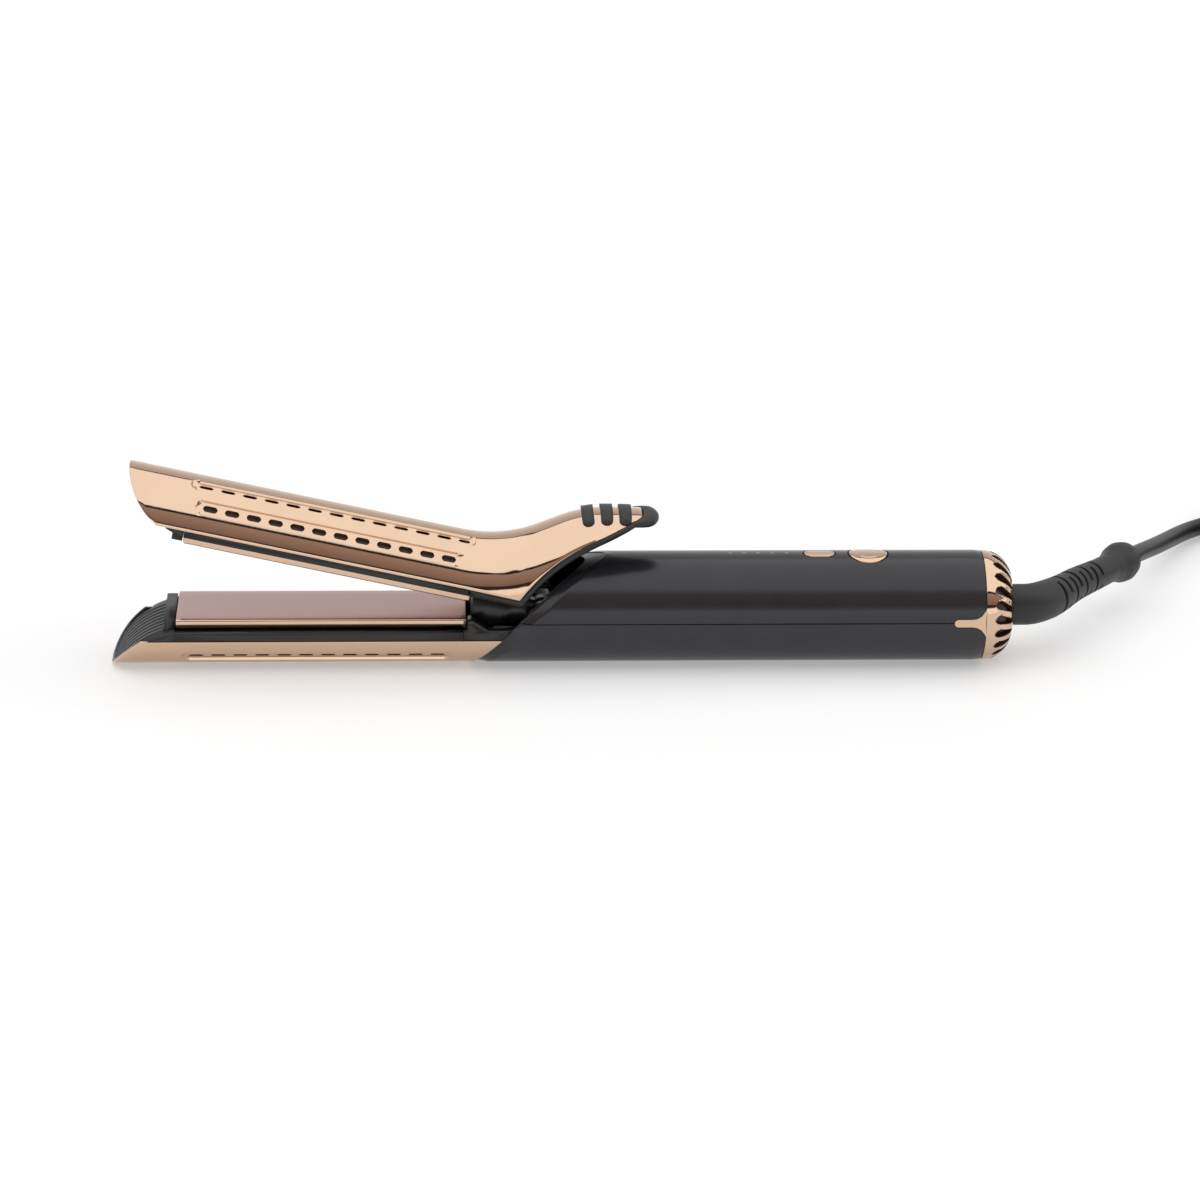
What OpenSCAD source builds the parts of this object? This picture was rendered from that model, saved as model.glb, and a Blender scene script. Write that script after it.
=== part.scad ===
// Airflow hair straightener: a round two-shell handle that carries a fixed lower arm, and an upper arm
// with a thumb lever that turns on a hinge pin. Both arms hold a sprung heated plate.
// Millimetres. +Z is up, +X runs from the tips of the arms to the mains cord, and the origin is under the
// middle of the body, on the surface it rests on.

/* [Body] */
// Radius of the round handle and of both arms
body_r = 20; // [19.8:0.05:20.2]
// Height of the handle's axis, a little under body_r so that the underside has a narrow flat
axis_z = 19.7; // [19.5:0.05:19.8]
// Distance from the origin to the tip of the lower arm, and to the back of the rear cap
half_len = 163; // [162:0.5:164]
// Wall of the moulded handle shells
handle_wall = 2; // [1.6:0.1:2.2]
// Wall of the metallised arm shells
arm_wall = 1.6; // [1.2:0.1:1.6]

/* [Jaws] */
// Angle between the arms at rest, in degrees
jaw_open = 12.5; // [8:0.5:13]
// Hinge pin's place along the body
hinge_x = -7; // [-8:0.5:-6]
// Hinge pin's diameter
pin_d = 5; // [4:0.5:5]
// End of the heated plates next to the tips
plate_start = -139; // [-139.5:0.5:-138]
// End of the heated plates next to the hinge
plate_end = -35; // [-36:0.5:-35]
// Width of a plate over its rounded edges
plate_w = 30.8; // [29:0.2:31]
// Width of a plate's flat
flat_w = 23.7; // [22:0.1:24]
// How far a sprung plate can sink
plate_float = 0.8; // [0.4:0.1:0.8]

/* [Vents] */
// Pitch of the air slots along an arm
vent_pitch = 7.87; // [7.6:0.01:7.9]
// Length of an air slot
vent_len = 5; // [4:0.1:5]
// Width of an air slot
vent_w = 2; // [1.5:0.1:2.2]
// Number of slots in the rear cap
cap_slots = 22; // [18:1:24]

/* [Controls] */
// Diameter of the round power button
power_d = 14; // [12:0.5:14.5]
// Length of the heat setting button
mode_len = 11.2; // [10:0.2:11.6]
// Width of the heat setting button
mode_w = 5.6; // [5:0.2:6]
// Travel of the buttons
button_travel = 0.6; // [0.4:0.1:0.6]

/* [Cord] */
// Diameter of the mains cord
cord_d = 6.8; // [6.4:0.1:7]

/* [Hidden] */

rose_gold = [0.86, 0.66, 0.53];
charcoal = [0.16, 0.16, 0.17];
black = [0.08, 0.08, 0.09];
fine = 96;
plate_x = [plate_start, plate_end];

tip_x = -half_len;
rear_x = half_len;
mid_z = axis_z + 0.9;        // plane on which the two arms meet when closed
up_axis_z = 2 * mid_z - axis_z;
shell_in_r = body_r - arm_wall;
core_r = shell_in_r - 0.2;   // black inner parts, clear of the shell
rim_r = body_r - 0.3;        // black band between shell and plate
low_edge_z = axis_z - 6.5;   // upper edge of the lower arm's shell
up_edge_z = up_axis_z + 5.2; // lower edge of the upper arm's shell
rim_z = axis_z - 3;          // top of the black band
plate_top = mid_z - 0.05;    // leaves 0.1 between the closed plates
plate_under = plate_top - 1.8;
heater_t = 2.4;
deck_z = plate_under - heater_t - plate_float - 0.15; // deck that the plate floats over
deck_t = 1.5;
housing_x = [plate_x[0] - 0.3, plate_x[1] - 1.2];
handle_end_x = 152;          // where the shells meet the rear cap
handle_in_r = body_r - handle_wall;

// Nose of an arm in side view: one arc, its centre below the lower arm
nose_r = 31.2;
nose_cz = axis_z - 32.7;
nose_cx = tip_x + sqrt(nose_r * nose_r - nose_cz * nose_cz);

// Handle's raked front edge: straight below the axis, then an arc over the top
rake_foot_x = -33.4;
rake_mid_x = -16;
front_r = 44.8;
front_c = [23.3, axis_z - 24.05];

// Thumb lever's centreline: up through bend 1, straight, then back through bend 2
lever_x0 = -41;
bend1_r = 65;
bend1_a = 34;
ramp_len = 8.2;
bend2_r = 26;
lever_a = 11;
lever_end_x = 19.6;
b1_c = [lever_x0, up_axis_z + bend1_r];
b1_end = b1_c + bend1_r * [sin(bend1_a), -cos(bend1_a)];
b2_start = b1_end + ramp_len * [cos(bend1_a), sin(bend1_a)];
b2_c = b2_start + bend2_r * [sin(bend1_a), -cos(bend1_a)];
b2_end = b2_c + bend2_r * [-sin(lever_a), cos(lever_a)];

// Lower edge of the lever's shell: an arc up from the corner, then a straight run
corner_x = -18;
sweep_r = 63.7;
sweep_c = [40.2, mid_z - 20.5];
sweep_a0 = 156;
sweep_a1 = 122;
liner_t = 2.4;
liner_x0 = housing_x[1] + 0.2;
liner_z0 = up_edge_z - 0.1;

// Controls along the top of the handle
led_x = [60.4, 65.5, 70.5, 75.6, 80.7];
led_r = 0.8;
mode_x = 92.7;
power_x = 110.4;
board_x = [34, 118];
board_top = axis_z + 10.8;
board_t = 1.6;
switch_h = 2.9;
flange_z = [axis_z + 15, axis_z + 15.8];

// Cord: centreline points from the strain relief's end to the coil, then from the coil to the plug
cord_r = cord_d / 2;
coil_lift = 1;
coil_c = [313, 122];
coil_d = 76;                 // at the middle of the turns
coil_turns = [4, 2];         // columns and layers
coil_pitch = cord_d + 0.1;
coil_in_r = coil_d / 2 - coil_turns[0] * coil_pitch / 2;
coil_out_r = coil_d / 2 + coil_turns[0] * coil_pitch / 2;
coil_top = coil_lift + coil_turns[1] * coil_pitch;
relief_route = [[162, 0, 19.7], [166, 0, 19.7], [170, 0.6, 19.6], [174, 3, 19.5], [178, 6.9, 19.3],
    [182, 12, 19.1], [186, 18, 18.8], [190, 24, 18.5], [194, 29.5, 18.1], [198, 34.5, 17.8],
    [202, 39.5, 17.5], [206, 44.8, 17.3], [208.5, 48.3, 17.1], [210.4, 50.9, 17], [212.3, 53.5, 16.9],
    [214, 55.8, 16.8], [215.3, 57.6, 16.7]];
relief_radii = [7.5, 7.5, 7.5, 7.4, 7.2, 6.8, 6.3, 6.1, 5.9, 5.7, 5.5, 5.4, 6.2, 7.3, 7.6, 6.9, 4.6];
lead_route = [[215.3, 57.6, 16.7], [218.5, 63, 15.9], [223.1, 71.9, 14.2], [231, 87.5, 10.9], [238.8, 103, 7.9],
    [246.6, 117.4, 5.5], [252.4, 125.4, 4.5], [259, 131.8, 4.1], [266.2, 138.6, 4.2], [271.8, 146.6, 4.4]];
tail_route = [[361.4, 122, 11.2], [361.4, 116, 11], [361.4, 109, 10.2], [361.4, 101, 9], [361.4, 92, 7.7],
    [361.4, 84, 7.1], [361.4, 76, 7]];
plug_x = 361.4;
plug_y = 76;
plug_size = [35, 36, 13.6];
pin_len = 19;
pin_pitch = 18.6;

// ---------- helpers ----------

function arc(c, r, a0, a1, n) = [for (i = [0:n]) let (a = a0 + (a1 - a0) * i / n) c + r * [cos(a), sin(a)]];
function flip(pts) = [for (p = pts) [p[0], 2 * mid_z - p[1]]];
function nose_a(z) = 180 - asin((z - nose_cz) / nose_r);
function nose(z0, z1, inset = 0) =
    arc([nose_cx, nose_cz], nose_r - inset, nose_a(z0), nose_a(z1), 20);

// Outline in the side view (X, Z), extruded across the body
module side(points, w = 60) rotate([90, 0, 0]) linear_extrude(height = w, center = true) polygon(points);

// Outline in the end view (Y, Z), extruded along the body
module along(x0, x1) translate([x0, 0, 0]) rotate([90, 0, 90]) linear_extrude(height = x1 - x0) children();

module rod(r, x0, x1, z = axis_z, y = 0)
    translate([x0, y, z]) rotate([0, 90, 0]) cylinder(r = r, h = x1 - x0, $fn = fine);

module cross_rod(r, y0, y1, x, z)
    translate([x, y1, z]) rotate([90, 0, 0]) cylinder(r = r, h = y1 - y0, $fn = 48);

module box(x, y, z) translate([x[0], y[0], z[0]]) cube([x[1] - x[0], y[1] - y[0], z[1] - z[0]]);

// Upper arm's parts are drawn closed, then swung open about the hinge pin
module opened() translate([hinge_x, 0, mid_z]) rotate([0, jaw_open, 0])
    translate([-hinge_x, 0, -mid_z]) children();
module flipped() translate([0, 0, 2 * mid_z]) mirror([0, 0, 1]) children();

module stadium(len, w) {
    translate([-(len - w) / 2, 0]) circle(d = w, $fn = 32);
    translate([(len - w) / 2, 0]) circle(d = w, $fn = 32);
    square([len - w, w], center = true);
}

// Tube along a route: rings square to the path, one polyhedron. The route never runs along `up`
function unit(v) = v / norm(v);
function heading(p, i) = unit(p[min(i + 1, len(p) - 1)] - p[max(i - 1, 0)]);
function smooth(p, n) =
    concat([for (i = [0:len(p) - 2], k = [0:n - 1]) spline(p, i, k / n)], [p[len(p) - 1]]);
function spline(p, i, u) = let (a = p[max(i - 1, 0)], b = p[i], c = p[i + 1], d = p[min(i + 2, len(p) - 1)])
    0.5 * (2 * b + (c - a) * u + (2 * a - 5 * b + 4 * c - d) * u * u + (3 * b - a - 3 * c + d) * u * u * u);
module tube(path, radii, sides, up = [0, 0, 1]) {
    n = len(path);
    points = [for (i = [0:n - 1]) let (t = heading(path, i), s = unit(cross(up, t)), u = cross(t, s))
        for (k = [0:sides - 1]) let (a = 360 * k / sides) path[i] + radii[i] * (cos(a) * s + sin(a) * u)];
    walls = [for (i = [0:n - 2], k = [0:sides - 1]) let (m = (k + 1) % sides)
        [i * sides + m, i * sides + k, (i + 1) * sides + k, (i + 1) * sides + m]];
    polyhedron(points = points, faces = concat([[for (k = [0:sides - 1]) k]], walls,
        [[for (k = [sides - 1:-1:0]) (n - 1) * sides + k]]));
}

// ---------- handle ----------

// Tongue of the rear cap that lies on the parting line, with a fillet where it joins the band
function tongue(c) = let (r = 4.7 - c, h = 1.55 + c)
    concat([[handle_end_x + 2, axis_z], [handle_end_x + 2, axis_z + 1.55 + 4.7]],
        [for (p = arc([147, 1.55 + 4.7], r, 0, -90, 6)) p + [0, axis_z]],
        [for (p = arc([141.8, 0], h, 90, 270, 8)) p + [0, axis_z]],
        [for (p = arc([147, -1.55 - 4.7], r, 90, 0, 6)) p + [0, axis_z]],
        [[handle_end_x + 2, axis_z - 1.55 - 4.7]]);

module handle_wall_ring() difference() {
    rod(body_r, rake_foot_x - 1, handle_end_x);
    rod(handle_in_r, rake_foot_x - 2, handle_end_x + 1);
}

module handle_upper_shell() color(charcoal) difference() {
    intersection() {
        handle_wall_ring();
        side(concat([[rake_mid_x, axis_z + 0.1]], arc(front_c, front_r, 137, 98, 14),
            [[handle_end_x - 0.2, axis_z + 22], [handle_end_x - 0.2, axis_z + 0.1]]));
    }
    side(tongue(0.15));
    for (x = led_x) translate([x, 0, board_top]) cylinder(r = led_r + 0.05, h = 20, $fn = 32);
    translate([power_x, 0, axis_z]) cylinder(d = power_d + 0.2, h = 30, $fn = fine);
    translate([mode_x, 0, axis_z + 10]) linear_extrude(height = 20)
        stadium(mode_len + 0.2, mode_w + 0.2);
}

module handle_lower_shell() color(charcoal) difference() {
    intersection() {
        handle_wall_ring();
        side([[rake_foot_x, 0], [rake_mid_x, axis_z - 0.1], [handle_end_x - 0.2, axis_z - 0.1],
            [handle_end_x - 0.2, 0]]);
    }
    side(tongue(0.15));
    for (x = screw_xs) translate([x, 0, -1]) {
        cylinder(r = 3.1, h = 2, $fn = 48);
        cylinder(r = 1.6, h = 6, $fn = 32);
    }
}

// Domed end cap with a ring of swirled slots and a spigot inside the handle
dome_r = 11;
spigot_r = handle_in_r - 0.1;
relief_hole_r = 7.6;
module dome(shrink) rotate_extrude($fn = fine) polygon(concat([[0, -shrink]], [[body_r - shrink, -shrink]],
    arc([body_r - dome_r, 0], dome_r - shrink, 0, 90, 12), [[0, dome_r - shrink]]));
module teardrop() {
    translate([2.4, 0]) circle(r = 1.5, $fn = 32);
    polygon([[2.4, 1.45], [-3.2, 0.62], [-3.2, -0.62], [2.4, -1.45]]);
    translate([-3.2, 0]) circle(r = 0.65, $fn = 32);
}
module cap_slot() translate([6.6, 0, body_r - dome_r + 6.6]) rotate([0, 45, 0]) rotate([0, 0, 16])
    translate([0, 0, -3]) linear_extrude(height = 8) teardrop();
module rear_vent_cap() color(rose_gold) {
    difference() {
        translate([handle_end_x, 0, axis_z]) rotate([0, 90, 0]) dome(0);
        translate([handle_end_x, 0, axis_z]) rotate([0, 90, 0]) dome(1.8);
        rod(relief_hole_r, handle_end_x + 5, rear_x + 1);
        for (i = [0:cap_slots - 1])
            translate([handle_end_x, 0, axis_z]) rotate([(i + 0.5) * 360 / cap_slots, 0, 0]) cap_slot();
        box([handle_end_x - 1, rear_x + 1], [-20, 20], [-5, 0]);
    }
    difference() {
        rod(spigot_r, handle_end_x - 5, handle_end_x + 1);
        rod(spigot_r - 1.6, handle_end_x - 6, handle_end_x + 2);
    }
    intersection() {
        difference() {
            rod(body_r, 138, handle_end_x + 0.5);
            rod(handle_in_r - 0.5, 137, handle_end_x + 1);
        }
        side(tongue(0));
    }
}

module intake_filter() color([0.3, 0.3, 0.3]) difference() {
    rod(spigot_r - 1.8, 148, 149.2);
    rod(8.5, 147, 150);
    for (ring = [[10.2, 18], [13.2, 24]], i = [0:ring[1] - 1]) translate([147, 0, axis_z])
        rotate([i * 360 / ring[1], 0, 0]) translate([0, 0, ring[0]]) rotate([0, 90, 0])
        cylinder(r = 1.1, h = 4, $fn = 24);
}

// ---------- fan and electronics ----------

shroud_r = 15.6;
fan_x = [120, 132];
module fan_shroud() color(black) {
    difference() {
        union() {
            rod(shroud_r, fan_x[0], fan_x[1]);
            for (a = [70, 180, 290]) translate([fan_x[0], 0, axis_z]) rotate([a, 0, 0])
                box([0, 8], [-2, 2], [14.5, handle_in_r - 0.3]);
        }
        rod(14.2, fan_x[0] - 1, fan_x[1] + 1);
    }
    for (a = [0, 120, 240])
        translate([fan_x[0], 0, axis_z]) rotate([a, 0, 0]) box([0, 1.6], [-1.2, 1.2], [8.4, 14.8]);
    difference() {
        rod(9, fan_x[0] - 8, fan_x[0] + 1.6);
        rod(8, fan_x[0] - 9, fan_x[0] + 2);
    }
}

motor_bore = 1.06;
module fan_motor() color([0.7, 0.7, 0.72]) difference() {
    rod(8, 104, 121);
    rod(motor_bore, 110, 122);
}

module fan_rotor() color([0.2, 0.2, 0.22]) {
    rod(1, 111, 124);
    difference() {
        rod(6.2, 122.5, 130.5);
        rod(5, 126, 131);
    }
    for (i = [0:6]) translate([126.5, 0, axis_z]) rotate([i * 360 / 7, 0, 0]) translate([0, 0, 5.8])
        rotate([0, 0, 35]) translate([-4, -0.5, 0]) cube([8, 1, 7.6]);
}

// Closed channel that carries the air under the board to the arms
module air_duct() color([0.25, 0.25, 0.26]) along(14, 100) difference() {
    intersection() { translate([0, axis_z]) circle(r = handle_in_r - 0.3, $fn = fine);
        translate([-20, 0]) square([40, axis_z - 3]); }
    intersection() { translate([0, axis_z]) circle(r = handle_in_r - 1.6, $fn = fine);
        translate([-20, 0]) square([40, axis_z - 4.3]); }
}

module control_board() color([0.1, 0.35, 0.2]) box(board_x, [-12, 12], [board_top - board_t, board_top]);

module board_components() color([0.2, 0.2, 0.25]) {
    under = board_top - board_t;
    box([40, 56], [-8, 8], [under - 10, under]);
    box([60, 72], [-9, 3], [under - 8, under]);
    translate([80, 3, under - 9]) cylinder(r = 5, h = 9, $fn = 48);
    translate([92, -4, under - 8.5]) cylinder(r = 4, h = 8.5, $fn = 48);
    box([98.5, 102.5], [-7, 7], [under - 6, under]);
}

module status_light_pipes() color([0.95, 0.95, 0.9]) intersection() {
    union() for (x = led_x) translate([x, 0, board_top]) cylinder(r = led_r, h = 12, $fn = 32);
    rod(body_r + 0.05, led_x[0] - 3, led_x[4] + 3);
}

module tact_switches() color([0.5, 0.5, 0.5]) for (x = [mode_x, power_x]) {
    box([x - 3, x + 3], [-3, 3], [board_top, board_top + 1.9]);
    translate([x, 0, board_top]) cylinder(r = 1.6, h = switch_h, $fn = 32);
}

// Buttons: a cap curved like the handle, a flange that keeps it in, and a stem over its switch
stem_z = board_top + switch_h + button_travel + 0.1;
module button_top() rod(body_r + 0.25, power_x - 30, power_x + 20);
module power_button() color(rose_gold) {
    intersection() {
        translate([power_x, 0, flange_z[1]]) cylinder(d = power_d, h = 6, $fn = fine);
        button_top();
    }
    translate([power_x, 0, flange_z[0]]) cylinder(r = 7.9, h = 0.8, $fn = fine);
    translate([power_x, 0, stem_z]) cylinder(r = 1.5, h = flange_z[0] - stem_z, $fn = 32);
}
module mode_button() color(rose_gold) {
    intersection() {
        translate([mode_x, 0, flange_z[1]]) linear_extrude(height = 6) stadium(mode_len, mode_w);
        button_top();
    }
    translate([mode_x, 0, flange_z[0]]) linear_extrude(height = 0.8) stadium(mode_len + 2, mode_w + 2);
    translate([mode_x, 0, stem_z]) cylinder(r = 1.5, h = flange_z[0] - stem_z, $fn = 32);
}

// Mains cable inside the cap, and two conductors that pass beside the fan to the board
wire_y = 10;
wire_z = axis_z + 13.5;
module wiring_harness() color([0.15, 0.15, 0.15]) {
    rod(3.2, 135, 162);
    translate([136.5, 0, axis_z]) cylinder(r = 1.2, h = wire_z - axis_z, $fn = 32);
    cross_rod(1, -wire_y, wire_y, 136.5, wire_z);
    for (s = [-1, 1]) {
        rod(1, 113, 136.5, wire_z, s * wire_y);
        translate([114, s * wire_y, board_top]) cylinder(r = 1, h = wire_z - board_top, $fn = 32);
    }
}

module cable_clamp() color(black) difference() {
    union() {
        box([139, 144], [-9, 9], [axis_z - 6, axis_z + 6]);
        for (s = [-1, 1]) box([139, 144], [s * 7 - 2, s * 7 + 2], [axis_z - 15, axis_z - 5.9]);
        box([139, 144], [-3, 3], [2, axis_z - 5.9]);
    }
    rod(3.2, 138, 145);
}

// Screws up through the lower shell, into the hinge bracket and the cable clamp's foot
screw_xs = [4, 141.5];
module case_screws() color([0.6, 0.6, 0.62]) for (x = screw_xs) translate([x, 0, 0.1]) {
    difference() {
        cylinder(r = 2.9, h = 0.9, $fn = 48);
        translate([-0.4, -1.8, -1]) cube([0.8, 3.6, 1.5]);
        translate([-1.8, -0.4, -1]) cube([3.6, 0.8, 1.5]);
    }
    translate([0, 0, 0.8]) cylinder(r = 1.4, h = 6, $fn = 32);
}

module thermal_fuses() color([0.8, 0.78, 0.7]) {
    cross_rod(1.3, -5, 5, -46, deck_z - deck_t - 1.4);
    box([-48, -44], [-6.5, -4.9], [deck_z - deck_t - 2.8, deck_z - deck_t - 0.1]);
    box([-48, -44], [4.9, 6.5], [deck_z - deck_t - 2.8, deck_z - deck_t - 0.1]);
}

// ---------- hinge ----------

ear_y = [12.4, 16.2];
hub_r = 5.8;
pocket_z = 7.6;
module hinge_bracket() color(black) difference() {
    union() {
        intersection() {
            rod(handle_in_r - 0.1, -36, 12);
            union() {
                side([[-36, 1.9], [12, 1.9], [12, axis_z - 4], [-9, axis_z - 3], [-27, axis_z - 3],
                    [-33, axis_z + 1.2], [-34.6, axis_z + 0.8], [-34.6, axis_z - 3], [-36, axis_z - 3]]);
                for (s = [-1, 1]) {
                    y = s > 0 ? ear_y : [-ear_y[1], -ear_y[0]];
                    cross_rod(hub_r, y[0], y[1], hinge_x, mid_z);
                    box([hinge_x - 4, hinge_x + 4], y, [10, mid_z]);
                }
            }
        }
        intersection() {
            rod(rim_r, -36, -10);
            side([[-36, low_edge_z + 0.2], [-22.4, low_edge_z + 0.2], [-19.4, axis_z - 3], [-27, axis_z - 3],
                [-33, axis_z + 1.2], [-34.6, axis_z + 0.8], [-34.6, axis_z - 3], [-36, axis_z - 3]]);
        }
    }
    box([-40, 5], [-ear_y[0], ear_y[0]], [pocket_z, 30]);
    cross_rod(pin_d / 2, -20, 20, hinge_x, mid_z);
}

module hinge_pin() color([0.75, 0.75, 0.77]) cross_rod(pin_d / 2, -ear_y[1], ear_y[1], hinge_x, mid_z);

// Torsion spring wound round the pin between the lugs
spring_turns = 5;
function spring_point(i) = let (a = i * 24)
    [hinge_x + 4.2 * cos(a), -4.2 + 8.4 * a / (360 * spring_turns), mid_z + 4.2 * sin(a)];
module return_spring() color([0.7, 0.7, 0.72]) {
    path = [for (i = [0:spring_turns * 15]) spring_point(i)];
    tube(path, [for (p = path) 0.6], 6, [0, 1, 0]);
}

// Two lobes on the pin, and a skirt that closes the back of the upper arm
module hinge_lug() color(black) opened() difference() {
    union() {
        for (s = [-1, 1]) {
            y = s > 0 ? [5.6, 12] : [-12, -5.6];
            cross_rod(hub_r, y[0], y[1], hinge_x, mid_z);
            intersection() {
                side([[-33, liner_bottom], [-17.4, liner_bottom], [hinge_x + 2, mid_z + 4],
                    [hinge_x, mid_z - 4], [-20, mid_z - 6], [-33, mid_z - 10]]);
                box([-40, 10], y, [0, 40]);
            }
        }
        box([-33, -24], [-12, 12], [mid_z - 10, liner_bottom]);
    }
    cross_rod(pin_d / 2 + 0.05, -20, 20, hinge_x, mid_z);
    box([-31, -26], [-9, 9], [mid_z - 11, liner_bottom - 2]);
}

module lug_screws() color([0.6, 0.6, 0.62]) opened() for (y = [-8.8, 8.8])
    translate([-22, y, mid_z - 2]) cylinder(r = 1.3, h = 5, $fn = 32);

// ---------- arms ----------

// A row of slots in a shallow channel, at an angle round the arm from its crown
module vent_row(angle, x0, count) translate([0, 0, axis_z]) rotate([180 + angle, 0, 0]) {
    mid = x0 + (count - 1) * vent_pitch / 2;
    translate([mid, 0, body_r - 0.5]) linear_extrude(height = 3)
        stadium((count - 1) * vent_pitch + vent_len + 5.4, vent_w + 3.2);
    for (i = [0:count - 1]) translate([x0 + i * vent_pitch, 0, body_r - 4]) linear_extrude(height = 6)
        stadium(vent_len, vent_w);
}
module vents(crown_count) for (s = [-1, 1]) {
    vent_row(s * 46, -131.9, 12);
    vent_row(s * 18, -134.6, crown_count);
}

module lower_arm_shell() color(rose_gold) difference() {
    intersection() {
        rod(body_r, tip_x - 2, -15);
        side(concat(nose(0, low_edge_z), [[-22.1, low_edge_z], [rake_foot_x - 0.4, 0]]));
    }
    rod(shell_in_r, tip_x - 3, 0);
    vents(13);
}

// Black trough behind the shell, with windows over the vents, a deck, and a band outside the plate
module arm_housing(edge_z) {
    difference() {
        along(housing_x[0], housing_x[1]) union() {
            intersection() {
                translate([0, axis_z]) circle(r = core_r, $fn = fine);
                translate([-20, 0]) square([40, edge_z + 0.2]);
            }
            intersection() {
                translate([0, axis_z]) circle(r = rim_r, $fn = fine);
                translate([-20, edge_z + 0.1]) square([40, rim_z - edge_z - 0.1]);
            }
        }
        along(housing_x[0] + 2, housing_x[1] + 1) intersection() {
            translate([0, axis_z]) circle(r = core_r - 1.6, $fn = fine);
            translate([-20, 0]) square([40, deck_z - deck_t]);
        }
        box([housing_x[0] - 1, housing_x[1] + 1], [-16, 16], [deck_z, axis_z]);
        for (i = [0:3], s = [-1, 1]) {
            y = s > 0 ? [3, 16] : [-16, -3];
            box([-136.5 + 24.6 * i, -114.5 + 24.6 * i], y, [0, 9]);
        }
    }
}
module lower_arm_housing() color(black) arm_housing(low_edge_z);
module upper_arm_housing() color(black) opened() flipped() arm_housing(2 * mid_z - up_edge_z);

// Ribbed heat-resistant tip that fills the nose of an arm, with a bar at the plate's end
lip_x = [-143.2, -139.4];
module cool_tip(edge_z) {
    intersection() {
        union() {
            rod(core_r, tip_x - 1, lip_x[1]);
            intersection() {
                rod(rim_r, tip_x - 1, lip_x[1]);
                box([tip_x - 1, 0], [-30, 30], [edge_z + 0.2, 40]);
            }
        }
        union() {
            side(concat(nose(1.7, rim_z, 1.2), [[lip_x[1], rim_z], [lip_x[1], 1.7]]));
            for (i = [-4:4]) translate([0, i * 3.4, 0])
                side(concat(nose(1.7, rim_z, 0.6), [[lip_x[0], rim_z + 0.5], [lip_x[0], 1.7]]), 2);
            box(lip_x, [-13.5, 13.5], [rim_z - 4, mid_z - 0.5]);
        }
    }
}
module lower_cool_tip() color(black) cool_tip(low_edge_z);
module upper_cool_tip() color(black) opened() flipped() cool_tip(2 * mid_z - up_edge_z);

// Floating plate with rounded long edges; its heater is clamped under it
edge_drop = 1.65;
module plate() along(plate_x[0], plate_x[1]) {
    half = plate_w / 2;
    round_w = (plate_w - flat_w) / 2;
    edge = [for (a = [0:15:90]) [flat_w / 2 + round_w * sin(a), plate_top - edge_drop * (1 - cos(a))]];
    skirt_z = plate_under - 0.7;
    right = concat(edge, [[half, skirt_z], [half - 1.2, skirt_z], [half - 1.2, plate_under]]);
    polygon(concat(right, [for (i = [len(right) - 1:-1:0]) [-right[i][0], right[i][1]]]));
}
module heater() box([-128, -50], [-7, 7], [plate_under - heater_t, plate_under]);
module plate_pads() for (x = [-130, -44], s = [-1, 1])
    translate([x, s * 10.5, deck_z]) cylinder(r = 2.2, h = plate_under - deck_z, $fn = 32);

module lower_plate() color([0.72, 0.6, 0.58]) plate();
module lower_heater() color([0.85, 0.83, 0.78]) heater();
module lower_plate_pads() color([0.75, 0.3, 0.25]) plate_pads();
module upper_plate() color([0.72, 0.6, 0.58]) opened() flipped() plate();
module upper_heater() color([0.85, 0.83, 0.78]) opened() flipped() heater();
module upper_plate_pads() color([0.75, 0.3, 0.25]) opened() flipped() plate_pads();

// ---------- upper arm shell and thumb lever ----------

// Straight part of the upper arm's shell, up to where the lever starts to rise
module upper_arm_shell() color(rose_gold) opened() difference() {
    intersection() {
        rod(body_r, tip_x - 3, lever_x0, up_axis_z);
        side(concat(flip(nose(-3, 2 * mid_z - up_edge_z)),
            [[lever_x0, up_edge_z], [lever_x0, 90], [tip_x, 90]]), 80);
    }
    rod(shell_in_r, tip_x - 4, lever_x0 + 1, up_axis_z);
    flipped() vents(12);
}

// Lever's centreline as [centre, slope] at a distance along it
run1 = bend1_r * bend1_a * PI / 180;
run2 = run1 + ramp_len;
run3 = run2 + bend2_r * (bend1_a - lever_a) * PI / 180;
run_end = run3 + (lever_end_x + body_r * sin(lever_a) - b2_end[0]) / cos(lever_a);
function normal(a) = [-sin(a), cos(a)];
function lever_frame(s) =
    s < run1 ? let (a = s * 180 / PI / bend1_r) [b1_c - bend1_r * normal(a), a]
    : s < run2 ? [b1_end + (s - run1) * [cos(bend1_a), sin(bend1_a)], bend1_a]
    : s < run3 ? let (a = bend1_a - (s - run2) * 180 / PI / bend2_r) [b2_c + bend2_r * normal(a), a]
    : [b2_end + (s - run3) * [cos(lever_a), sin(lever_a)], lever_a];

// Height above the centreline, along the frame's normal, at which the shell's lower edge lies
sweep_end = sweep_c + sweep_r * [cos(sweep_a1), sin(sweep_a1)];
sweep_slope = sweep_a1 - 90;
function level_height(f) = (up_edge_z - f[0][1]) / cos(f[1]);
function arc_height(f) = let (d = f[0] - sweep_c, b = d * normal(f[1]), q = b * b - d * d + sweep_r * sweep_r)
    -b + sqrt(max(q, 0));
function ramp_height(f) = (sweep_end - f[0]) * normal(sweep_slope) / (normal(f[1]) * normal(sweep_slope));
function edge_height(f) = let (r = ramp_height(f), p = f[0] + r * normal(f[1]))
    p[0] > sweep_end[0] ? r : max(level_height(f), arc_height(f));
function edge_angle(f, r) = acos(max(-0.3, min(0.96, (edge_height(f) + (body_r - r) / 30) / r)));

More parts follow.
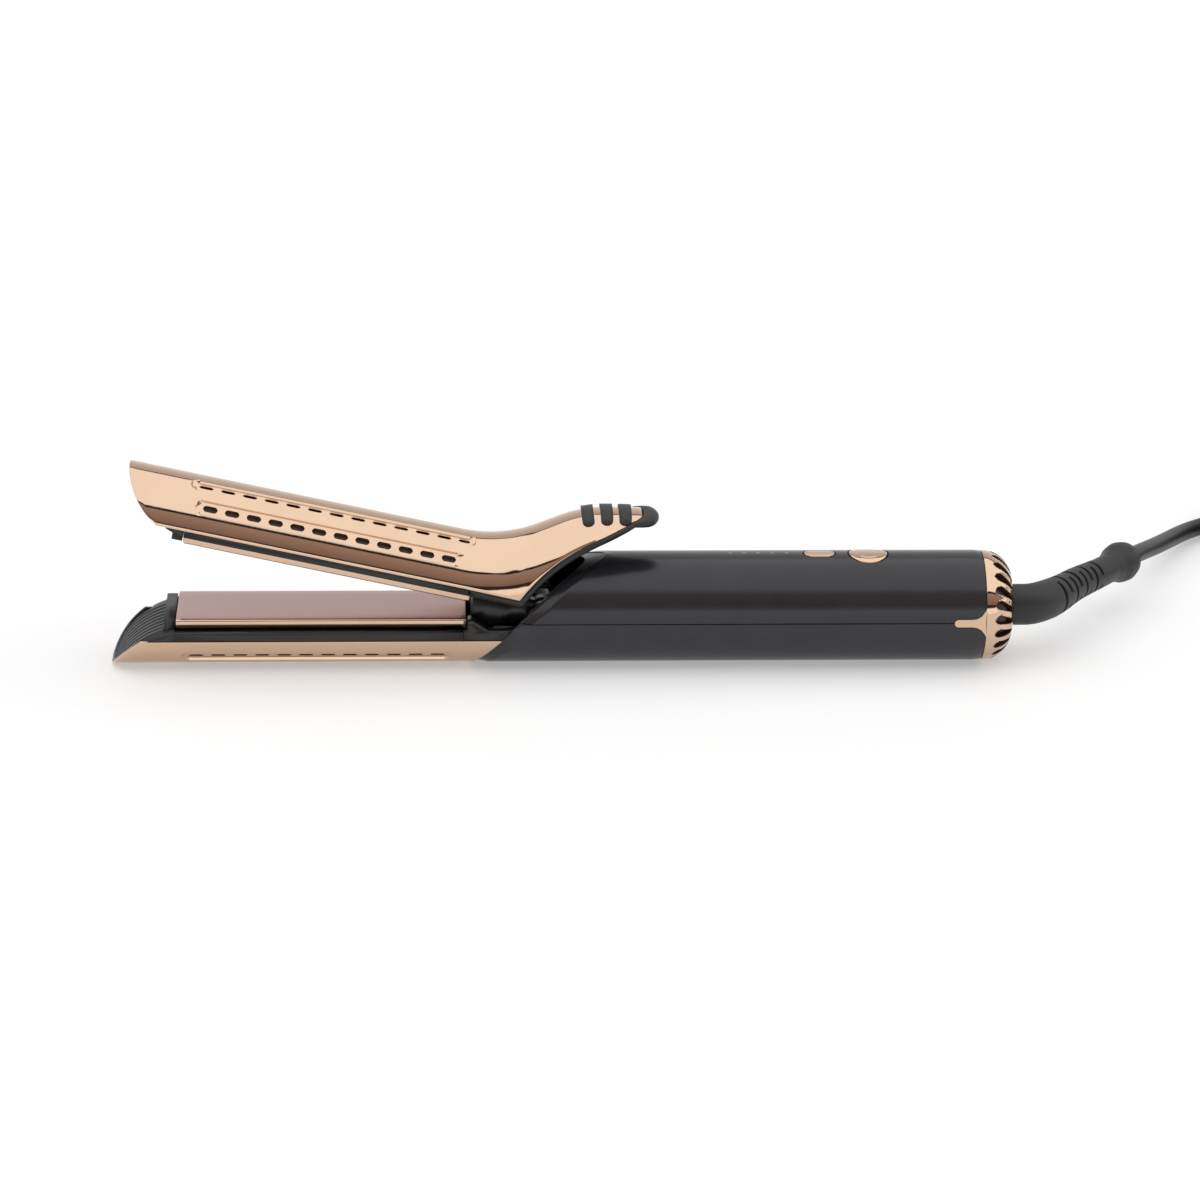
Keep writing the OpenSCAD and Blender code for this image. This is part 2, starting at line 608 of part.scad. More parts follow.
lever_rings = 32;
lever_sides = 16;
frames = [for (i = [0:lever_rings]) lever_frame(run_end * i / lever_rings)];
function arch_point(f, r, angle) =
    let (p = f[0] + r * cos(angle) * normal(f[1])) [p[0], r * sin(angle), p[1]];
function arch_side(f, r, way) =
    [for (k = [0:lever_sides]) arch_point(f, r, way * edge_angle(f, r) * (2 * k / lever_sides - 1))];
module arch_sweep(r_out, r_in) {
    n = lever_rings + 1;
    points = [for (f = frames) each concat(arch_side(f, r_out, -1), arch_side(f, r_in, 1))];
    ring = 2 * (lever_sides + 1);
    polyhedron(points = points, faces = concat(
        [for (i = [0:n - 2], k = [0:ring - 1]) let (j = (k + 1) % ring)
            [i * ring + k, i * ring + j, (i + 1) * ring + j, (i + 1) * ring + k]],
        [[for (k = [ring - 1:-1:0]) k], [for (k = [0:ring - 1]) (n - 1) * ring + k]]));
}
module lever_shell() color(rose_gold) opened() arch_sweep(body_r, shell_in_r);

// Black cover under the lever: a band along the shell's edge, as wide as the shell is there
function sweep(drop, n) = arc(sweep_c, sweep_r - drop, sweep_a0, sweep_a1, n);
function sweep_tail(drop) = let (p = sweep_end - drop * normal(sweep_slope))
    p + (lever_end_x + 0.8 - p[0]) * [1, tan(sweep_slope)];
liner_bottom = liner_z0 - liner_t;
liner_side = concat([[liner_x0, liner_z0], [corner_x, liner_z0]], sweep(0.1, 12),
    [sweep_tail(0.1), sweep_tail(liner_t)], [for (i = [12:-1:0]) sweep(liner_t, 12)[i]],
    [[corner_x + 0.5, liner_bottom], [liner_x0, liner_bottom]]);
module lever_liner() color(black) opened() intersection() {
    side(liner_side);
    translate([0, 0, 10]) linear_extrude(height = 70) {
        plan = [for (f = frames) arch_point(f, rim_r, edge_angle(f, body_r))];
        half = [for (p = plan) if (p[0] > corner_x) [p[0], p[1]]];
        straight_y = sqrt(rim_r * rim_r - pow(up_edge_z - up_axis_z, 2));
        polygon(concat([[liner_x0, -straight_y], [liner_x0, straight_y]], [[corner_x, straight_y]], half,
            [for (i = [len(half) - 1:-1:0]) [half[i][0], -half[i][1]]], [[corner_x, -straight_y]]));
    }
}

// Three raised rubber ribs across the lever, each square to the lever where it lies
rib_runs = [52.8, 56.7, 63];
rib_size = [20, 4.4];
module local(f) translate([f[0][0], 0, f[0][1]]) rotate([0, -f[1], 0]) children();
module lever_ribs() color(black) opened() for (s = rib_runs) local(lever_frame(s)) intersection() {
    difference() {
        rod(body_r + 1, -4, 4, 0);
        rod(body_r - 0.3, -5, 5, 0);
    }
    linear_extrude(height = 30) rotate(90) stadium(rib_size[0], rib_size[1]);
}

// Rubber end of the lever: rounded in plan, turned down at the back
pad_len = 7;
pad_plan_r = 13;
module lever_tip_pad() color(black) opened() local(lever_frame(run_end)) intersection() {
    rod(body_r + 0.3, 0.1, pad_len, 0);
    side(concat([[0.1, 21]], arc([pad_len - 4, body_r - 3.7], 4, 90, 0, 8),
        [[pad_len - 1, 10.5], [pad_len - 2.6, 9.6], [0.1, 13.2]]));
    translate([pad_len - pad_plan_r, 0, 0]) cylinder(r = pad_plan_r, h = 40, $fn = fine);
}

// ---------- cord ----------

function ramped(radii, n) = concat([for (i = [0:len(radii) - 2], k = [0:n - 1])
    radii[i] + (radii[i + 1] - radii[i]) * k / n], [radii[len(radii) - 1]]);
module strain_relief() color(black) tube(smooth(relief_route, 3), ramped(relief_radii, 3), 16);

module cord_run(route) {
    path = smooth(route, 2);
    tube(path, [for (p = path) cord_r], 12);
}
module cord_lead() color(black) cord_run(lead_route);
module cord_tail() color(black) cord_run(tail_route);

module cord_coil() color(black) translate([coil_c[0], coil_c[1], 0]) rotate_extrude($fn = fine)
    translate([coil_in_r, coil_lift]) square([coil_out_r - coil_in_r, coil_top - coil_lift]);

// Strap closed round the bundle of turns
tie_t = 1;
module cord_tie() color(black) translate([coil_c[0], coil_c[1], 0]) rotate([0, 0, -60]) difference() {
    box([coil_in_r - tie_t - 1, coil_out_r + tie_t], [-6, 6], [0, coil_top + tie_t]);
    box([coil_in_r - 1, coil_out_r], [-7, 7], [coil_lift, coil_top]);
}

module plug_body() color(black) translate([plug_x, plug_y, plug_size[2] / 2]) rotate([90, 0, 0]) union() {
    cylinder(r = 5.2, h = 12, $fn = 48);
    translate([0, 0, 11.9]) linear_extrude(height = 10) stadium(24, plug_size[2]);
    translate([0, 0, 21.8]) linear_extrude(height = plug_size[1] - 21.8) stadium(plug_size[0], plug_size[2]);
}
module plug_pins() color([0.8, 0.8, 0.78]) for (s = [-1, 1])
    translate([plug_x + s * pin_pitch / 2, plug_y - plug_size[1], plug_size[2] / 2]) rotate([90, 0, 0])
    cylinder(r = 2, h = pin_len, $fn = 48);

handle_upper_shell();
handle_lower_shell();
rear_vent_cap();
intake_filter();
fan_shroud();
fan_motor();
fan_rotor();
air_duct();
control_board();
board_components();
status_light_pipes();
tact_switches();
power_button();
mode_button();
wiring_harness();
cable_clamp();
case_screws();
hinge_bracket();
hinge_pin();
return_spring();
lower_arm_shell();
lower_arm_housing();
lower_cool_tip();
lower_plate();
lower_heater();
lower_plate_pads();
upper_arm_shell();
lever_shell();
upper_arm_housing();
upper_cool_tip();
upper_plate();
upper_heater();
upper_plate_pads();
hinge_lug();
lever_liner();
lever_ribs();
lever_tip_pad();
lug_screws();
thermal_fuses();
strain_relief();
cord_lead();
cord_coil();
cord_tail();
cord_tie();
plug_body();
plug_pins();
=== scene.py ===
"""Airflow flat iron on a plain pale floor, under a plain soft studio light.

Lengths are in mm in the frame's axes, and are scaled to metres when a mesh is made.
"""

import math

import bmesh
import bpy
import numpy as np
from mathutils import Matrix, Vector


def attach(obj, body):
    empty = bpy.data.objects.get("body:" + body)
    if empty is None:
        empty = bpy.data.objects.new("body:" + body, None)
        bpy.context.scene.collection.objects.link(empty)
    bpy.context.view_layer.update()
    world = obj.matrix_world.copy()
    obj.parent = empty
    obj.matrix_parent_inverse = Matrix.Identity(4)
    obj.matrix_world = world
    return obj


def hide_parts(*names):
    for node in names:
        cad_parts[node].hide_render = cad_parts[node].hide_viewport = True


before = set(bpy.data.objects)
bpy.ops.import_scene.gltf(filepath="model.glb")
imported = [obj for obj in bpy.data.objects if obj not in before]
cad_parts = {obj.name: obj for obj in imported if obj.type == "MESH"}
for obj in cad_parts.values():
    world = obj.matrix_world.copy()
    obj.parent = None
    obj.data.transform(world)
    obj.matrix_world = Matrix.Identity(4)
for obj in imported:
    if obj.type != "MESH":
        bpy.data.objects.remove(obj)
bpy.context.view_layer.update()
MM = 0.001


# ---------- camera ----------

CAMERA_AZIMUTH, CAMERA_ELEVATION, CAMERA_ROLL = math.radians(2.838), math.radians(20.211), math.radians(0.803)
CAMERA_DISTANCE, CAMERA_LENS = 1.5449, 127.95
CAMERA_AIM = Vector((0.013555, 0, 0.02188))


def make_camera():
    """A long lens that looks down a little at the near side, with a slight roll."""
    level = math.cos(CAMERA_ELEVATION)
    ahead = Vector((math.sin(CAMERA_AZIMUTH) * level, math.cos(CAMERA_AZIMUTH) * level,
                    -math.sin(CAMERA_ELEVATION)))
    right = Vector((math.cos(CAMERA_AZIMUTH), -math.sin(CAMERA_AZIMUTH), 0))
    up = right.cross(ahead)
    r = math.cos(CAMERA_ROLL) * right + math.sin(CAMERA_ROLL) * up
    u = math.cos(CAMERA_ROLL) * up - math.sin(CAMERA_ROLL) * right
    eye = CAMERA_AIM - CAMERA_DISTANCE * ahead
    data = bpy.data.cameras.new("camera")
    data.lens, data.sensor_width = CAMERA_LENS, 36
    data.clip_start, data.clip_end = 0.05, 50
    cam = bpy.data.objects.new("camera", data)
    bpy.context.scene.collection.objects.link(cam)
    cam.matrix_world = Matrix((
        (r.x, u.x, -ahead.x, eye.x), (r.y, u.y, -ahead.y, eye.y), (r.z, u.z, -ahead.z, eye.z), (0, 0, 0, 1)))
    bpy.context.scene.camera = cam


make_camera()
bpy.context.scene.view_settings.view_transform = "Standard"


# ---------- materials ----------

def material(name, dark, light, rough, metallic=0.0, scale=120.0, grain=0.02, spread=0.15,
             stretch=(1, 1, 1), wave=0.0, specular=0.5):
    """A principled finish whose colour, gloss and surface vary with procedural noise."""
    m = bpy.data.materials.new(name)
    m.use_nodes = True
    t = m.node_tree
    t.nodes.clear()
    new = t.nodes.new
    out, bsdf = new("ShaderNodeOutputMaterial"), new("ShaderNodeBsdfPrincipled")
    t.links.new(bsdf.outputs["BSDF"], out.inputs["Surface"])
    coord, mapping = new("ShaderNodeTexCoord"), new("ShaderNodeMapping")
    mapping.inputs["Scale"].default_value = stretch
    t.links.new(coord.outputs["Object"], mapping.inputs["Vector"])
    noise = new("ShaderNodeTexNoise")
    noise.inputs["Scale"].default_value = scale
    noise.inputs["Detail"].default_value = 4
    t.links.new(mapping.outputs["Vector"], noise.inputs["Vector"])
    ramp = new("ShaderNodeValToRGB")
    ramp.color_ramp.elements[0].position, ramp.color_ramp.elements[1].position = 0.3, 0.7
    ramp.color_ramp.elements[0].color = (*dark, 1)
    ramp.color_ramp.elements[1].color = (*light, 1)
    t.links.new(noise.outputs["Fac"], ramp.inputs["Fac"])
    t.links.new(ramp.outputs["Color"], bsdf.inputs["Base Color"])
    span = new("ShaderNodeMapRange")
    span.inputs["To Min"].default_value = rough * (1 - spread)
    span.inputs["To Max"].default_value = rough * (1 + spread)
    t.links.new(noise.outputs["Fac"], span.inputs["Value"])
    t.links.new(span.outputs["Result"], bsdf.inputs["Roughness"])
    fine = new("ShaderNodeTexNoise")
    fine.inputs["Scale"].default_value = scale * 9
    fine.inputs["Detail"].default_value = 2
    t.links.new(mapping.outputs["Vector"], fine.inputs["Vector"])
    bump = new("ShaderNodeBump")
    bump.inputs["Strength"].default_value = grain
    bump.inputs["Distance"].default_value = 0.0004
    t.links.new(fine.outputs["Fac"], bump.inputs["Height"])
    if wave:
        slow = new("ShaderNodeTexNoise")
        slow.inputs["Scale"].default_value = 28
        t.links.new(mapping.outputs["Vector"], slow.inputs["Vector"])
        roll = new("ShaderNodeBump")
        roll.inputs["Strength"].default_value = wave
        roll.inputs["Distance"].default_value = 0.001
        t.links.new(slow.outputs["Fac"], roll.inputs["Height"])
        t.links.new(bump.outputs["Normal"], roll.inputs["Normal"])
        bump = roll
    t.links.new(bump.outputs["Normal"], bsdf.inputs["Normal"])
    bsdf.inputs["Metallic"].default_value = metallic
    bsdf.inputs["Specular IOR Level"].default_value = specular
    return m


GOLD = material("rose_gold", (0.63, 0.45, 0.325), (0.66, 0.475, 0.345), 0.06, 1.0, 60, 0.008, 0.2,
                wave=0.025)
# Painted shade: a dark floor for the vent slots and the cap's pits, standing in for the shaded inside seen
# through them.
SLOT_SHADE_PAINT = material("painted_slot_shade", (0.03, 0.012, 0.006), (0.045, 0.02, 0.01), 0.4, 0.2, 90, 0.03)
SHELL = material("soft_grey", (0.017, 0.0158, 0.0195), (0.021, 0.0195, 0.024), 0.24, 0, 90, 0.03, 0.1,
                 specular=0.45)
BLACK = material("black_plastic", (0.006, 0.006, 0.0065), (0.009, 0.009, 0.0095), 0.32, 0, 150, 0.05)
RUBBER = material("rubber", (0.009, 0.009, 0.0098), (0.014, 0.014, 0.015), 0.5, 0, 180, 0.08)
TIP = material("tip_polymer", (0.016, 0.016, 0.018), (0.022, 0.022, 0.024), 0.42, 0, 200, 0.1)
CORD = material("cord_black", (0.008, 0.008, 0.009), (0.012, 0.012, 0.013), 0.42, 0, 160, 0.08)
PLUG = material("plug_black", (0.011, 0.011, 0.012), (0.016, 0.016, 0.017), 0.45, 0, 140, 0.08)
PLATE = material("plate_coating", (0.53, 0.36, 0.335), (0.57, 0.39, 0.365), 0.26, 0.85, 40, 0.02, 0.1,
                 stretch=(0.3, 2, 2))
STEEL = material("steel", (0.5, 0.5, 0.5), (0.6, 0.6, 0.6), 0.3, 1.0, 200, 0.02, stretch=(0.2, 1, 1))
PIN = material("pin_metal", (0.62, 0.61, 0.58), (0.72, 0.71, 0.68), 0.22, 1.0, 200, 0.02)
CERAMIC = material("ceramic", (0.62, 0.6, 0.55), (0.7, 0.68, 0.62), 0.6, 0, 150, 0.05)
SILICONE = material("silicone", (0.4, 0.07, 0.04), (0.5, 0.1, 0.06), 0.45, 0, 120, 0.05)
BOARD = material("board_green", (0.012, 0.1, 0.035), (0.02, 0.14, 0.05), 0.35, 0, 300, 0.05)
PARTS = material("component_grey", (0.03, 0.03, 0.035), (0.08, 0.08, 0.09), 0.45, 0, 250, 0.03)
PIPE = material("light_pipe", (0.1, 0.1, 0.1), (0.16, 0.16, 0.16), 0.2, 0, 200, 0.01)
WIRE = material("wire_black", (0.012, 0.012, 0.013), (0.02, 0.02, 0.021), 0.4, 0, 150, 0.04)
FILTER = material("filter_grey", (0.07, 0.07, 0.07), (0.11, 0.11, 0.11), 0.7, 0, 500, 0.2)
DUCT = material("duct_grey", (0.05, 0.05, 0.052), (0.07, 0.07, 0.072), 0.5, 0, 150, 0.04)


# ---------- mesh helpers ----------

def make_mesh(name, points, faces, mats, which=None, sharp=38):
    """A smooth-shaded object whose edges over the angle sharp stay crisp; which picks each face's material."""
    mesh = bpy.data.meshes.new(name)
    mesh.from_pydata((np.asarray(points, float) * MM).tolist(), [], [list(map(int, f)) for f in faces])
    for m in mats:
        mesh.materials.append(m)
    if which is not None:
        mesh.polygons.foreach_set("material_index", np.asarray(which, np.int32))
    bm = bmesh.new()
    bm.from_mesh(mesh)
    bmesh.ops.remove_doubles(bm, verts=bm.verts, dist=2e-6)
    bmesh.ops.dissolve_degenerate(bm, edges=bm.edges, dist=1e-6)
    bm.to_mesh(mesh)
    bm.free()
    mesh.shade_smooth()
    mesh.set_sharp_from_angle(angle=math.radians(sharp))
    obj = bpy.data.objects.new(name, mesh)
    bpy.context.scene.collection.objects.link(obj)
    return obj


def grid_faces(rows, cols, close_cols=False, flip=False):
    """Quads over a grid of points, stored row by row."""
    r = np.arange(rows - 1)
    c = np.arange(cols if close_cols else cols - 1)
    a, b = np.meshgrid(r, c, indexing="ij")
    a, b = a.ravel(), b.ravel()
    a1, b1 = a + 1, (b + 1) % cols
    quad = np.stack([a * cols + b, a * cols + b1, a1 * cols + b1, a1 * cols + b], 1)
    return quad[:, ::-1] if flip else quad


def swept(line, sides, reach):
    """Points and faces of a bar along a line; reach(i, t) is how far its ring point lies across and up."""
    points = []
    for i, centre in enumerate(line):
        ahead = line[min(i + 1, len(line) - 1)] - line[max(i - 1, 0)]
        ahead /= np.linalg.norm(ahead)
        across = np.cross(ahead, (0, 0, 1))
        across /= np.linalg.norm(across)
        up = np.cross(across, ahead)
        for j in range(sides):
            wide, high = reach(i, 2 * math.pi * j / sides)
            points.append(centre + wide * across + high * up)
    faces = [list(f) for f in grid_faces(len(line), sides, close_cols=True)]
    faces += [list(range(sides))[::-1], list(range((len(line) - 1) * sides, len(line) * sides))]
    return points, faces


def fade(distance, reach):
    """1 at an edge, falling to 0 at its reach."""
    return max(0, 1 - distance / reach)


def finish_piece(obj, body, slot_name, *nodes):
    """Puts a piece on its body and hides the CAD nodes that it stands for; slot_name is not used."""
    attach(obj, body)
    if nodes:
        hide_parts(*nodes)
    return obj


# ---------- sizes that the arms and the handle share ----------

AXIS, R = 19.7, 20.0  # height of the handle's axis, radius of the round body
MID, UP_AXIS, WALL = 20.6, 21.5, 1.6  # level between the plates, closed upper arm's centreline, shell's wall
HINGE, OPEN = (-7.0, MID), math.radians(12.5)


def opened(p):
    """Turns points of the closed upper arm to where they are at rest."""
    p = np.array(p, float)
    x, z = p[..., 0] - HINGE[0], p[..., 2] - HINGE[1]
    p[..., 0] = HINGE[0] + x * math.cos(OPEN) + z * math.sin(OPEN)
    p[..., 2] = HINGE[1] - x * math.sin(OPEN) + z * math.cos(OPEN)
    return p


def along(a):
    return np.array([math.cos(a), math.sin(a)])


def normal(a):
    return np.array([-math.sin(a), math.cos(a)])


# ---------- lever: the upper shell's centreline behind LEVER_X0, up a bend, a ramp and a bend back ----------

LEVER_X0, LEVER_END_X = -41.0, 19.6
BEND1_R, BEND1_A, RAMP = 65.0, math.radians(34), 8.2
BEND2_R, LEVER_A = 26.0, math.radians(11)
BEND1 = np.array([LEVER_X0, UP_AXIS + BEND1_R])
RAMP_START = BEND1 - BEND1_R * normal(BEND1_A)
BEND2 = RAMP_START + RAMP * along(BEND1_A) - BEND2_R * normal(BEND1_A)
LEVER_START = BEND2 + BEND2_R * normal(LEVER_A)
RUN1 = BEND1_R * BEND1_A
RUN2 = RUN1 + RAMP
RUN3 = RUN2 + BEND2_R * (BEND1_A - LEVER_A)
RUN_END = RUN3 + (LEVER_END_X + R * math.sin(LEVER_A) - LEVER_START[0]) / math.cos(LEVER_A)

UP_EDGE, LOW_EDGE = 5.2, 6.5  # height of each shell's edge above its centreline, where it is straight
SWEEP, SWEEP_R, SWEEP_A = np.array([40.2, MID - 20.5]), 63.7, math.radians(122)
SWEEP_END = SWEEP + SWEEP_R * along(SWEEP_A)
SWEEP_NORMAL = normal(SWEEP_A - math.pi / 2)


def lever_frame(x):
    """Centre and slope of the upper shell's centreline at a length x along it, straight up to LEVER_X0."""
    s = x - LEVER_X0
    if s <= 0:
        return np.array([x, UP_AXIS]), 0.0
    if s < RUN1:
        return BEND1 - BEND1_R * normal(s / BEND1_R), s / BEND1_R
    if s < RUN2:
        return RAMP_START + (s - RUN1) * along(BEND1_A), BEND1_A
    if s < RUN3:
        a = BEND1_A - (s - RUN2) / BEND2_R
        return BEND2 + BEND2_R * normal(a), a
    return LEVER_START + (s - RUN3) * along(LEVER_A), LEVER_A


def on_lever(x, y, h):
    """Place in the closed upper arm of a point given along its centreline, across it and above it."""
    c, a = lever_frame(x)
    return c[0] - h * math.sin(a), y, c[1] + h * math.cos(a)


def edge_height(x):
    """Height of the upper shell's edge above its centreline: level, then an arc, then a straight ramp."""
    if x <= LEVER_X0:
        return UP_EDGE
    c, a = lever_frame(x)
    n = normal(a)
    level = (UP_AXIS + UP_EDGE - c[1]) / math.cos(a)
    d = c - SWEEP
    b = float(d @ n)
    arc = -b + math.sqrt(max(b * b - float(d @ d) + SWEEP_R ** 2, 0))
    ramp = float((SWEEP_END - c) @ SWEEP_NORMAL) / float(n @ SWEEP_NORMAL)
    h = ramp if (c + ramp * n)[0] > SWEEP_END[0] else max(level, arc)
    return min(max(h, -0.3 * R), 0.96 * R)


# ---------- arms: each shell is rows of points, from one rim over the crown to the other rim ----------

NOSE_X, NOSE_Z, NOSE_R = -134.638, -13.0, 31.2
LOW_REAR_X, LOW_REAR_SLOPE = -33.8, 0.88636
PITCH = 7.87
VENTS = ((18.0, -134.6, 13), (46.0, -131.9, 12))  # degrees from the crown, first slot's x, number of slots
SLOT_SCALE = {True: {18.0: 0.75, 46.0: 1.2}, False: {18.0: 0.75, 46.0: 0.6}}  # widths, upper arm or lower
SLOT_R, SLOT_HALF, SLOT_DEPTH = 1.0, 1.5, 2.4
CHANNEL_R, CHANNEL_DEPTH, CHANNEL_EDGE = 2.6, 0.8, 0.3
HALF_CELL = [0.5, 1.5, 1.95, 2.25, 2.44, 2.58]  # columns of points on each side of a slot's middle
CELL = [-dx for dx in HALF_CELL[::-1]] + HALF_CELL + [PITCH / 2]
COLUMNS = [(0, dx) for dx in (-5.5, -5.2, -4.9, -4.5, -3.9, -3.2)]
COLUMNS += [(i, dx) for i in range(13) for dx in CELL]
COLUMNS += [(12, dx) for dx in (4.6, 5.0, 5.4)]
NOSE_RIM = ((5, WALL), (0.12, WALL), (0, 1.2), (0, 0.45), (0.05, 0.2), (0.2, 0.05), (0.5, 0))
REAR_RIM = ((-0.12, 0.12), (0, 0.4), (0, 1.2), (-0.12, WALL), (-3, WALL))
EDGE_RIM = ((1.2, 0), (0.4, 0), (0.12, 0.12), (0, 0.4), (0, 1.2), (0.12, 1.48), (0.4, WALL), (5, WALL))


def slot_half_width(dx):
    """Half the width of a slot at a distance from its middle."""
    a = abs(dx)
    return SLOT_R if a <= SLOT_HALF else math.sqrt(max(SLOT_R ** 2 - (a - SLOT_HALF) ** 2, 0.09))


def sunk(x, s, x0, count, narrow):
    """Depth of a vent row's shallow channel and of its slots at a point."""
    x1 = x0 + (count - 1) * PITCH
    over = max(x0 - CHANNEL_R - x, x - x1 - CHANNEL_R, 0)
    gap = math.hypot(over, s) - CHANNEL_R
    i = min(count - 1, max(0, round((x - x0) / PITCH)))
    if math.hypot(max(abs(x - x0 - i * PITCH) - SLOT_HALF, 0), s / narrow) < SLOT_R:
        return SLOT_DEPTH
    return CHANNEL_DEPTH * min(1, max(0, 0.5 - gap / CHANNEL_EDGE))


def arm_rows():
    """Kind of each row, its angle from the crown or height over the edge, and its offset or depth."""
    outer = (-2.8, -2.6, -2.42, -1.8)
    rows = [("free", a, 0) for a in (0, 2.5, 5, 7.5)]
    for (centre, _, _), below in zip(VENTS, ((28, 31, 34, 36), (56, 59, 62, 65, 68))):
        rows += [("vent", centre, s) for s in outer]
        rows += [("slot", centre, s) for s in (-1.06, -0.94, 0, 0.94, 1.06)]
        rows += [("vent", centre, -s) for s in outer[::-1]]
        rows += [("free", a, 0) for a in below]
    return rows + [("rim", h, d) for h, d in EDGE_RIM]


def skew(deg):
    """How far back the columns stand at an angle, since the lower vent row starts behind the upper one."""
    return np.interp(deg, [0, 27, 37], [0, 0, VENTS[1][1] - VENTS[0][1]])


class ShellRow:
    """One row of an arm's shell, from inside the nose to inside the rear."""

    def __init__(self, upper, kind, at, offset):
        self.upper, self.kind, self.at, self.offset = upper, kind, at, offset
        self.rim_depth = offset if kind == "rim" else 0.0
        self.scale = SLOT_SCALE[upper]

    def height(self, x, deg, r):
        """Height above the centreline at a length x."""
        edge = edge_height(x) if self.upper else LOW_EDGE
        if self.kind == "rim":
            return min(edge + self.at * min(1, (R - edge) / 8), r)
        squeeze = math.acos(edge / R) / math.acos(UP_EDGE / R) if self.upper and x > LEVER_X0 else 1.0
        return r * math.cos(math.radians(deg * squeeze))

    def angle(self, dx):
        """Degrees from the crown at a distance from a slot's middle."""
        if self.kind == "slot":
            half = slot_half_width(dx) * self.scale[self.at]
            off = math.copysign(half + abs(self.offset) - 1, self.offset) if self.offset else 0
            return self.at + math.degrees(off / R)
        if self.kind == "vent":
            return self.at + math.degrees(self.offset / R)
        return self.at if self.kind == "free" else 90.0

    def point(self, x, deg, rim_depth=0):
        """Length, half width and height of a point, and its depth: over 1 in a slot, negative on a rim."""
        d = max(self.rim_depth, rim_depth)
        r = R - d
        h = self.height(x, deg, r)
        depth = 0.0
        if self.kind != "rim" and not rim_depth:
            depth = max(sunk(x, math.radians(deg - centre) * R, x0, count, self.scale[centre])
                        for centre, x0, count in VENTS)
        w = math.sqrt(max(r * r - h * h, 0))
        if not self.upper:
            h = min(h, AXIS - d)
        k = (r - depth) / r
        return x, w * k, h * k, depth if depth > 1 else -d

    def line(self):
        """The row's points along the near side."""
        first = VENTS[0][1] + COLUMNS[0][1]
        deg = self.angle(COLUMNS[0][1])
        points = []
        for dx, depth in NOSE_RIM:
            _, w, h, _ = self.point(first, deg, depth)
            nose_x = NOSE_X - math.sqrt(NOSE_R ** 2 - (AXIS - h - NOSE_Z) ** 2)
            points.append((nose_x + dx, w, h, -max(self.rim_depth, depth)))
        start = points[-1][0]
        run = first + skew(deg) - start
        points += [self.point(start + f * run, deg) for f in np.linspace(0, 1, 12)[1:-1]]
        for i, dx in COLUMNS:
            deg = self.angle(dx)
            points.append(self.point(VENTS[0][1] + i * PITCH + dx + skew(deg), deg))
        last = points[-1][0]
        if self.upper:
            end = LEVER_X0 + RUN_END
        else:
            end = LOW_REAR_X + LOW_REAR_SLOPE * (AXIS - min(self.height(last, deg, R), AXIS))
        tail = np.linspace(0, 1, 64 if self.upper else 8)[1:]
        points += [self.point(last + f * (end - 0.4 - last), deg) for f in tail]
        return points + [self.point(end + dx, deg, depth) for dx, depth in REAR_RIM]


def arm_shell(name, upper):
    """One arm's metal shell with its vent rows: gold outside, painted shade on the slot floors, and black
    inside.
    """
    near = [ShellRow(upper, *row).line() for row in arm_rows()]
    rows = [[(x, -w, h, d) for x, w, h, d in row] for row in near[:0:-1]] + near
    flat = [p for row in rows for p in row]
    depth = np.array([p[3] for p in flat])
    if upper:
        points = opened([on_lever(x, y, h) for x, y, h, _ in flat])
    else:
        points = [(x, y, max(AXIS - h, 0)) for x, y, h, _ in flat]
    faces = grid_faces(len(rows), len(rows[0]), flip=not upper)
    # Faces deep in a slot take the painted slot shade; faces inside the rim take black plastic.
    finish = (depth[faces] > 1).all(axis=1) + 2 * (depth[faces] < -0.42).all(axis=1)
    return make_mesh(name, points, faces, [GOLD, SLOT_SHADE_PAINT, BLACK], finish.astype(int), sharp=32)


finish_piece(arm_shell("gold_lower_arm", False), "handle", "rose_gold_metal", "lower_arm_shell")
finish_piece(arm_shell("gold_upper_arm", True), "upper_arm", "rose_gold_metal",
             "upper_arm_shell", "lever_shell")


# ---------- handle: two half shells on a parting line ----------

HANDLE_END, HANDLE_RUN = 151.8, 150
LED_X, MODE_X, POWER_X = (60.4, 65.5, 70.5, 75.6, 80.7), 92.7, 110.4
SCREW_X = (4, 141.5)


def front_x(z):
    """X of the handle's front edge at a height: a rake, a step beside the hinge, then an arc."""
    if z <= 19.75:
        return -33.4 + z * 17.4 / 19.6
    if z <= 26.2:
        return -16 + (z - 19.8) * 6.54 / 6.4
    return 23.3 - math.sqrt(max(44.8 ** 2 - (z + 4.35) ** 2, 1))


